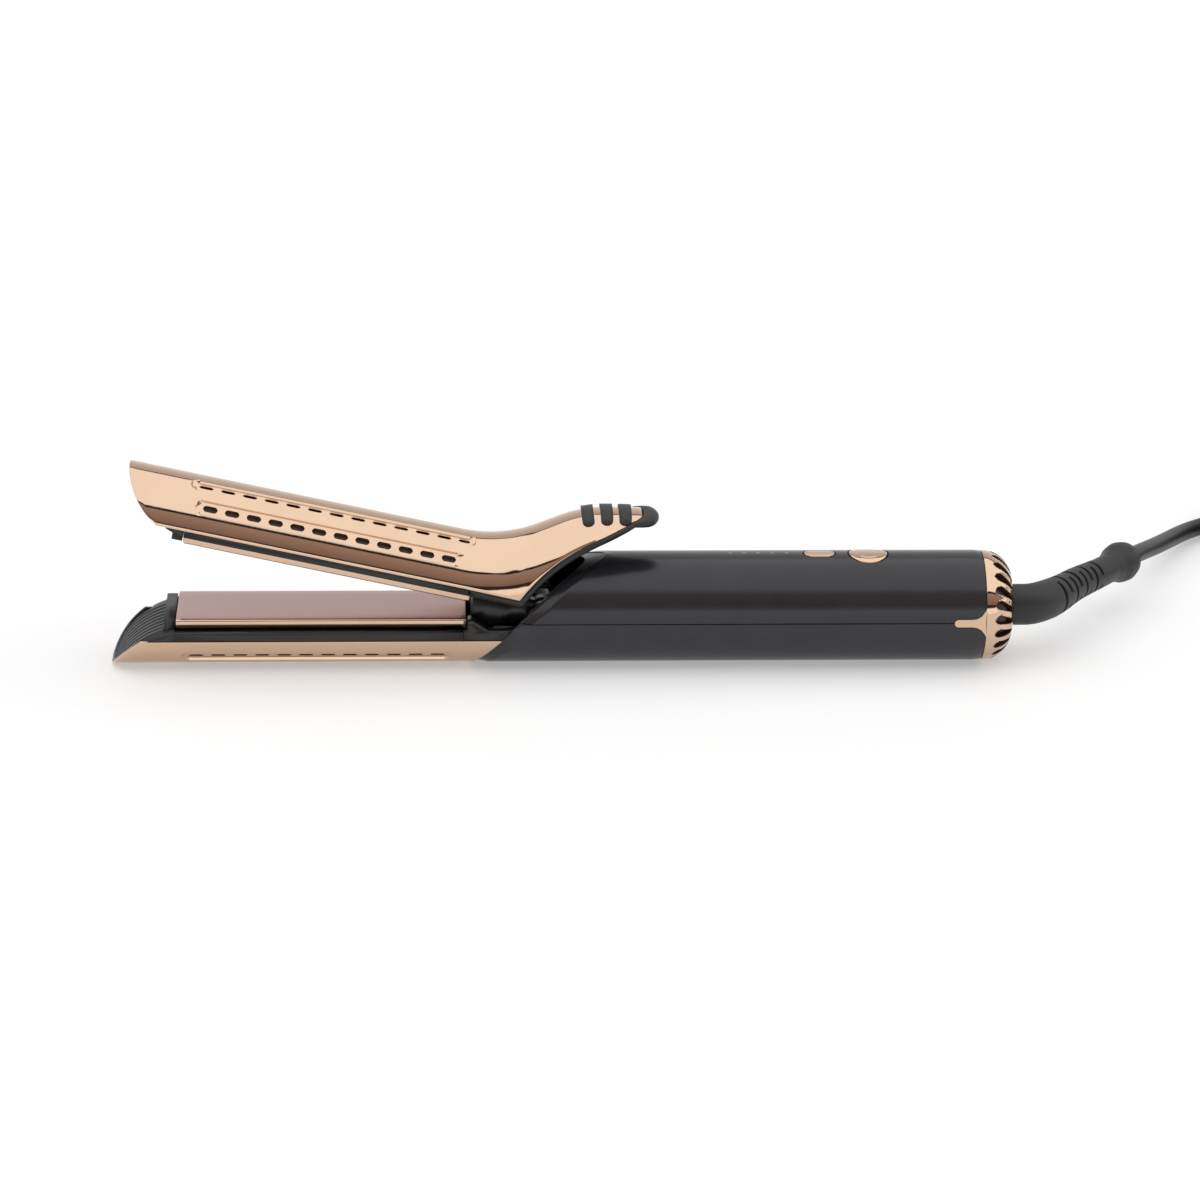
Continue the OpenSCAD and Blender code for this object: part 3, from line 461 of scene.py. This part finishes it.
def handle_half(name, top):
    """A closed half shell: rows outside, then the same rows inside, from one parting edge to the other."""
    sweep = np.concatenate([[0, 0.25, 0.8, 2], np.arange(5, 87, 3.0), [88, 89.2, 89.75, 90]])
    angles = np.concatenate([-sweep[:0:-1], sweep])
    steps = np.concatenate([[0, 0.15, 0.4, 1.2, 2.2, 3.2, 4.0, 4.5, 5.2, 6.5], np.linspace(9, HANDLE_RUN, 60)])
    wall, lip, bevel, bevel_run = 2.0, 0.35, 1.7, 4.5
    points = []
    for inner in (False, True):
        for a in angles:
            t = math.radians(a)
            near = (90 - abs(a)) / 57.3 * R
            r = R - wall if inner else R - lip * fade(near, lip) ** 2
            z = AXIS + (1 if top else -1) * max(r * math.cos(t), 0.04)
            z = max(z, 0.0)
            x0 = front_x(z)
            strength = min(1, abs(t) / 1.2) if top else 1 - 0.4 * (1 - abs(t) / 1.5708)
            for s in steps:
                rounding = (bevel * strength * fade(s, bevel_run) + 0.25 * fade(s, 0.3) ** 2
                            + 0.3 * fade(HANDLE_RUN - s, 2.4) ** 2)
                k = 1 if inner else (r - rounding) / r
                x = x0 + s * (HANDLE_END - x0) / HANDLE_RUN
                points.append((x, r * math.sin(t) * k, AXIS + (z - AXIS) * (k if z > 0 else 1)))
    n, cols = len(angles), len(steps)
    outer = grid_faces(n, cols, flip=not top)
    inside = grid_faces(n, cols, flip=top) + n * cols
    caps = []
    for j in range(n - 1):
        for c in (0, cols - 1):
            q = [j * cols + c, (j + 1) * cols + c, (n + j + 1) * cols + c, (n + j) * cols + c]
            caps.append(q if (c == 0) == top else q[::-1])
    for c in range(cols - 1):
        for j in (0, n - 1):
            q = [j * cols + c, (n + j) * cols + c, (n + j) * cols + c + 1, j * cols + c + 1]
            caps.append(q if (j == 0) == top else q[::-1])
    return make_mesh(name, points, np.vstack([outer, inside, np.array(caps)]), [SHELL, BLACK], sharp=30)


def prism(outline, z0, z1, plane="xy"):
    """Mesh of a closed prism over an outline: along z, or along y for plane xz."""
    n = len(outline)
    lo = [(x, y, z0) if plane == "xy" else (x, z0, y) for x, y in outline]
    hi = [(x, y, z1) if plane == "xy" else (x, z1, y) for x, y in outline]
    faces = [[i, (i + 1) % n, n + (i + 1) % n, n + i] for i in range(n)]
    faces += [list(range(n))[::-1], list(range(n, 2 * n))]
    mesh = bpy.data.meshes.new("cutter")
    mesh.from_pydata((np.array(lo + hi) * MM).tolist(), [], faces)
    bm = bmesh.new()
    bm.from_mesh(mesh)
    bmesh.ops.recalc_face_normals(bm, faces=bm.faces)
    bm.to_mesh(mesh)
    bm.free()
    return mesh


def circle(x, y, r, n=64):
    return [(x + r * math.cos(2 * math.pi * i / n), y + r * math.sin(2 * math.pi * i / n)) for i in range(n)]


def stadium(x, y, length, width, n=20):
    r, h = width / 2, (length - width) / 2
    turn = np.linspace(-math.pi / 2, math.pi / 2, n)
    return ([(x + h + r * math.cos(a), y + r * math.sin(a)) for a in turn]
            + [(x - h - r * math.cos(a), y - r * math.sin(a)) for a in turn])


def tongue_outline(half, end_x, end_half, level=0.0):
    """Outline of the rear cap's tongue along the handle: a round tip that flares into the cap."""
    tip = [(141.8 - half * math.sin(a), level + half * math.cos(a)) for a in np.linspace(0, math.pi, 17)]
    flare = [(147, half), (148.6, half + 0.3), (150.2, half + 1.3), (151.6, half + 3.3), (end_x, end_half)]
    return tip + [(x, level - z) for x, z in flare] + [(x, level + z) for x, z in flare[::-1]]


def cut(obj, meshes):
    """Takes the prisms away from obj for good, and removes them."""
    for mesh in meshes:
        tool = bpy.data.objects.new("cutter", mesh)
        bpy.context.scene.collection.objects.link(tool)
        mod = obj.modifiers.new("cut", "BOOLEAN")
        mod.operation, mod.solver, mod.object = "DIFFERENCE", "EXACT", tool
        done = bpy.data.meshes.new_from_object(obj.evaluated_get(bpy.context.evaluated_depsgraph_get()))
        obj.modifiers.clear()
        obj.data = done
        bpy.data.objects.remove(tool)
    obj.data.shade_smooth()
    obj.data.set_sharp_from_angle(angle=math.radians(30))


def tongue_slot():
    return prism(tongue_outline(1.7, 153, 7, AXIS), -25, 25, "xz")


handle_top = handle_half("handle_upper", True)
cut(handle_top, [prism(circle(POWER_X, 0, 7.5), 34, 45), prism(stadium(MODE_X, 0, 12.2, 6.6), 34, 45)]
    + [prism(circle(x, 0, 0.85, 24), 30, 45) for x in LED_X] + [tongue_slot()])
finish_piece(handle_top, "handle", "handle_soft_black", "handle_upper_shell")
handle_bottom = handle_half("handle_lower", False)
cut(handle_bottom, [tongue_slot()] + [prism(circle(x, 0, 3.1, 32), -1, 1) for x in SCREW_X])
finish_piece(handle_bottom, "handle", "handle_soft_black", "handle_lower_shell")


# ---------- buttons ----------

def button(name, outline_at, foot_z, node):
    """A cap curved like the handle, with a shallow ring pressed into it and a rounded edge."""
    shares = list(np.linspace(0.02, 0.5, 8))
    shares += [0.53, 0.56, 0.6, 0.64, 0.68, 0.75, 0.82, 0.9, 0.93, 0.96, 0.985, 1.0]
    points = []
    for t in shares:
        drop = 0.16 * fade(abs(t - 0.6), 0.05) + 0.22 * max(0, (t - 0.9) / 0.1) ** 2
        points += [(x, y, AXIS + math.sqrt((R + 0.2) ** 2 - y * y) - drop) for x, y in outline_at(t)]
    foot = outline_at(1.0)
    points += [(x, y, foot_z) for x, y in foot]
    faces = [list(f) for f in grid_faces(len(shares) + 1, len(foot), close_cols=True)]
    faces.append(list(range(len(foot)))[::-1])
    return finish_piece(make_mesh(name, points, faces, [GOLD], sharp=50), node, "button_metal", node)


button("power_cap", lambda t: circle(POWER_X, 0, 6.9 * t, 72), 36.4, "power_button")
button("mode_cap", lambda t: stadium(MODE_X, 0, 5.6 + 5.5 * t, 5.5 * t, 36), 36.6, "mode_button")


# ---------- rear cap ----------

CAP_X, CAP_MID_R, CAP_ROUND = 152, 9, 11  # where the dome starts, radius of its flat middle, radius of its edge
PITS, PIT_STEPS, PIT_TURN, PIT_AT, PIT_STRETCH = 22, 18, math.radians(22), math.radians(43), 1.3
PIT_TAIL, PIT_HEAD, PIT_TAIL_R, PIT_HEAD_R, PIT_DEPTH = -3.2, 2.4, 0.65, 1.5, 1.9
PIT_FROM, PIT_TO = -3.85, 3.9


def pit_half_width(u):
    """Half the width of a teardrop pit at a place along it."""
    if u < PIT_TAIL:
        return math.sqrt(max(0.42 - (u - PIT_TAIL) ** 2, 0))
    if u > PIT_HEAD:
        return math.sqrt(max(PIT_HEAD_R ** 2 - (u - PIT_HEAD) ** 2, 0))
    return PIT_TAIL_R + (u - PIT_TAIL) / (PIT_HEAD - PIT_TAIL) * (PIT_HEAD_R - PIT_TAIL_R)


def pit_depth(a, t, r):
    """Depth of the dome's surface at slope a, turn t and radius r: a pit, its proud rim or neither."""
    along_dome = (a - PIT_AT) * CAP_ROUND / PIT_STRETCH
    across = ((t * PITS / (2 * math.pi)) % 1 - 0.5) * 2 * math.pi / PITS * r
    c, s = math.cos(PIT_TURN), math.sin(PIT_TURN)
    u, v = -(along_dome * c + across * s), across * c - along_dome * s
    if not PIT_FROM < u < PIT_TO:
        return 0
    gap = abs(v) - pit_half_width(u)
    return PIT_DEPTH if gap < 0 else (-0.12 if gap < 0.3 else 0)


def rear_cap():
    """A dome turned about the handle's axis, with swirled pits whose rims stand a little proud; the pits'
    floors carry painted shade.
    """
    profile = [(151.9, 19.55, None), (152.0, 19.9, None), (152.2, R, None)]
    for a in np.radians(np.linspace(2, 90, 56)):
        x, r = CAP_X + CAP_ROUND * math.sin(a), CAP_MID_R + CAP_ROUND * math.cos(a)
        profile.append((x, r, math.atan2(x - CAP_X, r - CAP_MID_R)))
    profile += [(163, 8.4, None), (162.9, 7.8, None), (162.6, 7.6, None), (158, 7.6, None)]
    ring = PITS * PIT_STEPS
    points, pit = [], []
    for x, r, a in profile:
        for j in range(ring):
            t = 2 * math.pi * j / ring
            depth = 0.0 if a is None else pit_depth(a, t, r)
            inward = (0, 0) if a is None else (math.sin(a), math.cos(a))
            rr = r - inward[1] * depth
            z = AXIS - rr * math.cos(t)
            points.append((x - inward[0] * depth, rr * math.sin(t), z if depth > 0 else max(z, 0)))
            pit.append(depth > 1)
    faces = grid_faces(len(profile), ring, close_cols=True)
    # Painted shade on the faces deep in a pit.
    painted_pit_shade = np.array(pit)[faces].any(axis=1)
    return make_mesh("rear_cap", points, faces, [GOLD, SLOT_SHADE_PAINT], painted_pit_shade.astype(int), sharp=40)


def tongue_piece():
    """The cap's tongue, which lies flush in the handle's parting line on both sides."""
    outline = tongue_outline(1.5, 152.4, 6.6)
    n = len(outline)
    points, faces = [], []
    for side in (-1, 1):
        base = len(points)
        for r, shrink, inset in ((R, 0.96, 0.06), (R - 0.12, 1.0, 0), (R - 2, 1.0, 0)):
            for x, z in outline:
                y = side * math.sqrt(r * r - (z * shrink) ** 2)
                points.append((x + (inset if x < 142 else 0), y, AXIS + z * shrink))
        faces += [list(f + base) for f in grid_faces(3, n, close_cols=True, flip=side < 0)]
        lid = list(range(base, base + n))
        faces.append(lid[::-1] if side > 0 else lid)
    return make_mesh("cap_tongue", points, faces, [GOLD], sharp=50)


finish_piece(rear_cap(), "handle", "rose_gold_metal")
finish_piece(tongue_piece(), "handle", "rose_gold_metal", "rear_vent_cap")


# ---------- plates ----------

PLATE_HALF, PLATE_TOP, PLATE_FOOT = 15.4, 20.55, 16.35
PLATE_FROM, PLATE_TO = -139, -35


def plate(name, body, node, upper):
    """A flat plate with rounded long edges, turned down a little at the sides; its side edges take the gold
    finish as a painted highlight.
    """
    half = [(0, PLATE_TOP), (6, PLATE_TOP), (11, PLATE_TOP), (14.0, 20.53), (14.6, 20.45), (15.05, 20.25),
            (15.3, 19.95), (PLATE_HALF, 19.55), (PLATE_HALF, 17.25), (15.2, 16.95), (14.8, 16.85),
            (14.0, 16.85), (13.2, 17.05), (13.0, PLATE_FOOT), (0, PLATE_FOOT)]
    line = [(-y, z) for y, z in half[::-1]] + half[1:]
    places = [(PLATE_FROM, 0.5), (PLATE_FROM + 0.15, 0.15), (PLATE_FROM + 0.5, 0)]
    places += [(x, 0) for x in np.linspace(-136, -38, 20)]
    places += [(PLATE_TO - 0.5, 0), (PLATE_TO - 0.15, 0.15), (PLATE_TO, 0.5)]
    points = []
    for x, inset in places:
        for y, z in line:
            zz = z - (inset if z > 19.6 else 0)
            points.append((x, y * (1 - inset / PLATE_HALF), 2 * MID - zz if upper else zz))
    cols = len(line)
    quads = grid_faces(len(places), cols, close_cols=True, flip=upper)
    # Painted highlight: the rounded side edges take the bright gold finish in place of the plate's coating.
    side = np.abs([y for y, _ in line]) > 14.9
    finish = [int(side[f[0] % cols] and side[f[2] % cols]) for f in quads] + [0, 0]
    faces = [list(f) for f in quads]
    faces += [list(range(cols)), list(range((len(places) - 1) * cols, len(places) * cols))[::-1]]
    obj = make_mesh(name, opened(points) if upper else points, faces, [PLATE, GOLD], finish, sharp=40)
    return finish_piece(obj, body, "plate_coating", node)


plate("plate_lower", "lower_floating_plate", "lower_plate", False)
plate("plate_upper", "upper_floating_plate", "upper_plate", True)


# ---------- cord ----------

RELIEF = [[162, 0, 19.7], [166, 0, 19.7], [170, 0.6, 19.6], [174, 3, 19.5], [178, 6.9, 19.3], [182, 12, 19.1],
          [186, 18, 18.8], [190, 24, 18.5], [194, 29.5, 18.1], [198, 34.5, 17.8], [202, 39.5, 17.5],
          [206, 44.8, 17.3], [208.5, 48.3, 17.1], [210.4, 50.9, 17], [212.3, 53.5, 16.9], [214, 55.8, 16.8],
          [215.3, 57.6, 16.7]]
RELIEF_R = [7.5, 7.5, 7.5, 7.4, 7.2, 6.8, 6.3, 6.1, 5.9, 5.7, 5.5, 5.4, 6.2, 7.3, 7.6, 6.9, 4.6]
RELIEF_CUTS, CUTS_FROM, CUT_PITCH, CUT_DEPTH = 8, 18, 4.6, 1.3
CORD_R = 3.4
LEAD = [[215.3, 57.6, 16.7], [218.5, 63, 15.9], [223.1, 71.9, 14.2], [231, 87.5, 10.9], [238.8, 103, 7.9],
        [246.6, 117.4, 5.5], [252.4, 125.4, 4.5], [259, 131.8, 4.1], [266.2, 138.6, 4.2]]
TAIL = [[361.4, 116, 11], [361.4, 109, 10.2], [361.4, 101, 9], [361.4, 92, 7.7], [361.4, 84, 7.1],
        [361.4, 76, 7]]
COIL, COIL_R, COIL_START = (313.0, 122.0), (48.35, 41.45, 34.55, 27.65), 149.2
COIL_Z = (4.4, 11.3)


def smooth_line(route, step):
    """Points at equal steps along a Catmull-Rom line through the route, and how far along each lies."""
    p = np.array(route, float)
    pts = []
    for i in range(len(p) - 1):
        a, b, c, d = p[max(i - 1, 0)], p[i], p[i + 1], p[min(i + 2, len(p) - 1)]
        for u in np.linspace(0, 1, 24, endpoint=False):
            pts.append(0.5 * (2 * b + (c - a) * u + (2 * a - 5 * b + 4 * c - d) * u * u
                              + (3 * b - a - 3 * c + d) * u ** 3))
    pts.append(p[-1])
    pts = np.array(pts)
    run = np.concatenate([[0], np.cumsum(np.linalg.norm(np.diff(pts, axis=0), axis=1))])
    at = np.linspace(0, run[-1], max(2, int(round(run[-1] / step)) + 1))
    return np.stack([np.interp(at, run, pts[:, k]) for k in range(3)], 1), at


def coil_line():
    """Two layers of turns, the lower one wound inward and the upper one outward, clockwise from above."""
    radii = list(COIL_R) + list(COIL_R[::-1])
    layer = len(COIL_R)
    last = len(radii) - 1
    pts = []
    for w in np.arange(0, last * 360 + COIL_START + 0.01, 4.0):
        k = int(w // 360)
        blend = max(0.0, (w % 360 - 300) / 60)
        blend = blend * blend * (3 - 2 * blend)
        r0, r1 = radii[min(k, last)], radii[min(k + 1, last)]
        z0, z1 = COIL_Z[k >= layer], COIL_Z[k + 1 >= layer]
        r, z = r0 + (r1 - r0) * blend, z0 + (z1 - z0) * blend
        a = math.radians(COIL_START - w)
        pts.append((COIL[0] + r * math.cos(a), COIL[1] + r * math.sin(a), z))
    return pts


def make_cord():
    """The mains cord from the strain relief through its coil to the plug, and its length in metres."""
    coil = coil_line()
    lead, _ = smooth_line(LEAD + coil[:3], 3)
    whole, run = smooth_line(np.vstack([lead[:-1], coil[2:], TAIL]), 3.0)
    curve = bpy.data.curves.new("mains_cord", "CURVE")
    curve.dimensions = "3D"
    curve.bevel_depth, curve.bevel_resolution = CORD_R * MM, 5
    curve.use_fill_caps = True
    line = curve.splines.new("POLY")
    line.points.add(len(whole) - 1)
    line.points.foreach_set("co", np.hstack([whole * MM, np.ones((len(whole), 1))]).ravel())
    line.use_smooth = True
    curve.materials.append(CORD)
    obj = bpy.data.objects.new("mains_cord", curve)
    bpy.context.scene.collection.objects.link(obj)
    return obj, float(run[-1]) * MM


def strain_relief():
    """A tapered sleeve with staggered cuts across it and a ball at its end."""
    line, run = smooth_line(RELIEF, 0.35)
    at = [run[np.argmin(np.linalg.norm(line - q, axis=1))] for q in np.array(RELIEF, float)]
    radius = np.interp(run, at, RELIEF_R)

    def reach(i, t):
        place = (run[i] - CUTS_FROM) / CUT_PITCH
        k = int(math.floor(place))
        facing = abs(math.sin(t)) if k % 2 else abs(math.cos(t))
        cut_here = 0 <= k < RELIEF_CUTS and 0.3 < place - k < 0.62 and facing > 0.35
        r = radius[i] - (CUT_DEPTH if cut_here else 0)
        return r * math.cos(t), r * math.sin(t)

    points, faces = swept(line, 40, reach)
    return make_mesh("strain_relief_sleeve", points, faces, [RUBBER], sharp=35)


mains_cord, cord_length = make_cord()
finish_piece(mains_cord, "handle", "cord_black", "cord_lead", "cord_coil", "cord_tail")
relief = finish_piece(strain_relief(), "handle", "rubber_black", "strain_relief")


# ---------- rubber round the lever's end ----------

def tip_bumper():
    """A bar that runs up one edge of the lever, round its end and back down the other edge."""
    end = LEVER_X0 + RUN_END
    side = []
    for x in np.linspace(end - 22, end - 3, 24):
        h = edge_height(x)
        side.append((x, math.sqrt(max(R * R - h * h, 0)) - 0.3, h - 0.9))
    x0, w0, h0 = side[-1]
    for a in np.linspace(0, math.pi / 2, 24)[1:]:
        side.append((x0 + 6.1 * math.sin(a), w0 * max(math.cos(a), 0) ** 0.8, h0 + (17.7 - h0) * math.sin(a)))
    thick = list(np.interp(np.linspace(0, 1, len(side)), [0, 0.3, 0.6, 0.8, 1], [0.5, 0.9, 1.9, 2.9, 3.2]))
    thick += thick[-2::-1]
    line = opened([on_lever(x, -w, h) for x, w, h in side] + [on_lever(x, w, h) for x, w, h in side[-2::-1]])
    flat = 0.72
    points, faces = swept(line, 24, lambda i, t: (thick[i] * math.cos(t), thick[i] * flat * math.sin(t)))
    return make_mesh("lever_end_rubber", points, faces, [RUBBER], sharp=60)


finish_piece(tip_bumper(), "upper_arm", "rubber_black", "lever_tip_pad")


# ---------- the rest of the CAD pieces, with finishes ----------

def dress(node, mat):
    """Gives a CAD node its finish, smooth but for its sharp edges."""
    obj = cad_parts[node]
    obj.data.materials.clear()
    obj.data.materials.append(mat)
    obj.modifiers.new("weld", "WELD").merge_threshold = 1e-6
    obj.data.shade_smooth()
    obj.data.set_sharp_from_angle(angle=math.radians(30))


FINISH = {
    "intake_filter": FILTER, "fan_shroud": BLACK, "fan_motor": STEEL, "fan_rotor": DUCT, "air_duct": DUCT,
    "control_board": BOARD, "board_components": PARTS, "status_light_pipes": PIPE, "tact_switches": STEEL,
    "wiring_harness": WIRE, "cable_clamp": BLACK, "case_screws": STEEL, "thermal_fuses": CERAMIC,
    "hinge_bracket": BLACK, "hinge_pin": STEEL, "return_spring": STEEL, "hinge_lug": BLACK, "lug_screws": STEEL,
    "lower_arm_housing": BLACK, "upper_arm_housing": BLACK, "lower_cool_tip": TIP, "upper_cool_tip": TIP,
    "lower_heater": CERAMIC, "upper_heater": CERAMIC, "lower_plate_pads": SILICONE,
    "upper_plate_pads": SILICONE, "lever_liner": BLACK, "lever_ribs": RUBBER, "cord_tie": RUBBER,
    "plug_body": PLUG, "plug_pins": PIN,
}
for node_name, finish in FINISH.items():
    dress(node_name, finish)


# ---------- floor and light ----------

FLOOR_HALF, FLOOR_GLOW, LIGHT = 8.0, 0.36, 1.35
DIM, DARK, WARM_LOW, WARM = (0.05, 0.04, 0.04), (0.01, 0.01, 0.01), (0.22, 0.16, 0.14), (0.34, 0.26, 0.23)
LOW, WHITE, GREY_LOW, GREY = (0.03, 0.02, 0.02), (1, 1, 1), (0.45, 0.43, 0.43), (0.68, 0.68, 0.68)
# Degrees up from the near horizon, over the top and down to the far horizon, and the light's colour there
BANDS = [(0, WHITE), (11, WHITE), (12.5, LOW), (18, LOW), (20, WARM_LOW), (43, WARM), (44, DARK), (47.6, DARK),
         (48.6, WHITE), (134.5, WHITE), (135.3, DIM), (137.8, DIM), (138.8, GREY_LOW), (180, GREY)]


def make_floor():
    """A large pale sheet just under the body, lit a little from within so that it stays pale."""
    mesh = bpy.data.meshes.new("floor")
    s = FLOOR_HALF
    mesh.from_pydata([(-s, -s, 0), (s, -s, 0), (s, s, 0), (-s, s, 0)], [], [(0, 1, 2, 3)])
    floor = bpy.data.objects.new("floor", mesh)
    floor.location.z = -0.0002
    bpy.context.scene.collection.objects.link(floor)
    paint = material("floor", (0.62, 0.62, 0.62), (0.63, 0.63, 0.63), 0.6, 0, 3, 0.0, specular=0.2)
    shader = next(n for n in paint.node_tree.nodes if n.type == "BSDF_PRINCIPLED")
    shader.inputs["Emission Color"].default_value = (1, 1, 1, 1)
    shader.inputs["Emission Strength"].default_value = FLOOR_GLOW
    mesh.materials.append(paint)


def make_world():
    """Bands of light that run along the product: a dim low front, a wide soft box overhead, a grey back."""
    world = bpy.data.worlds.new("studio")
    bpy.context.scene.world = world
    world.use_nodes = True
    t = world.node_tree
    t.nodes.clear()
    new = t.nodes.new
    coord, split = new("ShaderNodeTexCoord"), new("ShaderNodeSeparateXYZ")
    t.links.new(coord.outputs["Generated"], split.inputs["Vector"])
    flip, turn, part = new("ShaderNodeMath"), new("ShaderNodeMath"), new("ShaderNodeMath")
    flip.operation, turn.operation, part.operation = "MULTIPLY", "ARCTAN2", "DIVIDE"
    flip.inputs[1].default_value = -1
    part.inputs[1].default_value = math.pi
    t.links.new(split.outputs["Y"], flip.inputs[0])
    t.links.new(split.outputs["Z"], turn.inputs[0])
    t.links.new(flip.outputs[0], turn.inputs[1])
    t.links.new(turn.outputs[0], part.inputs[0])
    ramp = new("ShaderNodeValToRGB")
    t.links.new(part.outputs[0], ramp.inputs["Fac"])
    el = ramp.color_ramp.elements
    while len(el) < len(BANDS):
        el.new(0.5)
    for e, (deg, colour) in zip(el, BANDS):
        e.position = deg / 180
        e.color = (*colour, 1)
    back, out = new("ShaderNodeBackground"), new("ShaderNodeOutputWorld")
    back.inputs["Strength"].default_value = LIGHT
    t.links.new(ramp.outputs["Color"], back.inputs["Color"])
    t.links.new(back.outputs["Background"], out.inputs["Surface"])


make_floor()
make_world()
